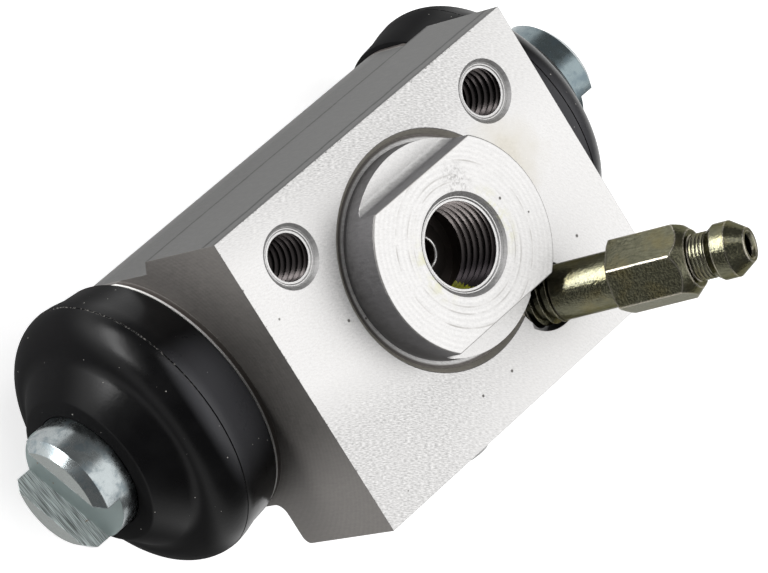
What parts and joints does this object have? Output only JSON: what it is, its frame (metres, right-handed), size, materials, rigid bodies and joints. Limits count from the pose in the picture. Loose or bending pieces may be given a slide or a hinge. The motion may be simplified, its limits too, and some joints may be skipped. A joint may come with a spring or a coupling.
{
  "type": "drum brake wheel cylinder",
  "caption": "Double-ended hydraulic wheel cylinder with an aluminium body, slotted pistons in rubber boots, a threaded port and a leaning bleeder screw.",
  "frame": {"origin": "on the axis of the threaded port, level with the mounting face", "axes": "+X along the bore, +Y across the bore towards the two tapped holes, +Z out of the mounting face"},
  "size_m": [0.0786, 0.0354, 0.0569],
  "materials": {
    "body_aluminium": "satin",
    "zinc_plate": "satin",
    "cup_rubber": "matte",
    "spring_steel": "satin",
    "boot_rubber": "satin",
    "olive_chromate": "satin"
  },
  "bodies": {
    "housing": {"cylinder_body": "body_aluminium", "left_boot": "boot_rubber", "right_boot": "boot_rubber", "return_spring": "spring_steel"},
    "left_cup": {"left_cup_seal": "cup_rubber", "left_cup_spreader": "spring_steel"},
    "right_cup": {"right_cup_seal": "cup_rubber", "right_cup_spreader": "spring_steel"},
    "left_plunger": {"left_piston": "zinc_plate"},
    "right_plunger": {"right_piston": "zinc_plate"},
    "bleeder": {"bleeder_screw": "olive_chromate"}
  },
  "joints": [
    {"name": "left_piston_slide", "type": "slide", "parent": "housing", "child": "left_cup", "axis": [-1, 0, 0], "range_m": [-0.004, 0.008], "stiffness_N_per_m": 900, "deforming": ["left_boot", "return_spring"]},
    {"name": "left_piston_turn", "type": "hinge", "parent": "left_cup", "child": "left_plunger", "pos_m": [-0.0215, 0, -0.0214], "axis": [-1, 0, 0], "continuous": true},
    {"name": "right_piston_slide", "type": "slide", "parent": "housing", "child": "right_cup", "axis": [1, 0, 0], "range_m": [-0.004, 0.008], "stiffness_N_per_m": 900, "deforming": ["right_boot", "return_spring"]},
    {"name": "right_piston_turn", "type": "hinge", "parent": "right_cup", "child": "right_plunger", "pos_m": [0.0215, 0, -0.0214], "axis": [1, 0, 0], "continuous": true},
    {"name": "bleeder_turn", "type": "hinge", "parent": "housing", "child": "bleeder", "pos_m": [0.00825, -0.01103, 0], "axis": [0.4505, -0.1618, 0.878], "range_deg": [0, 360]}
  ]
}
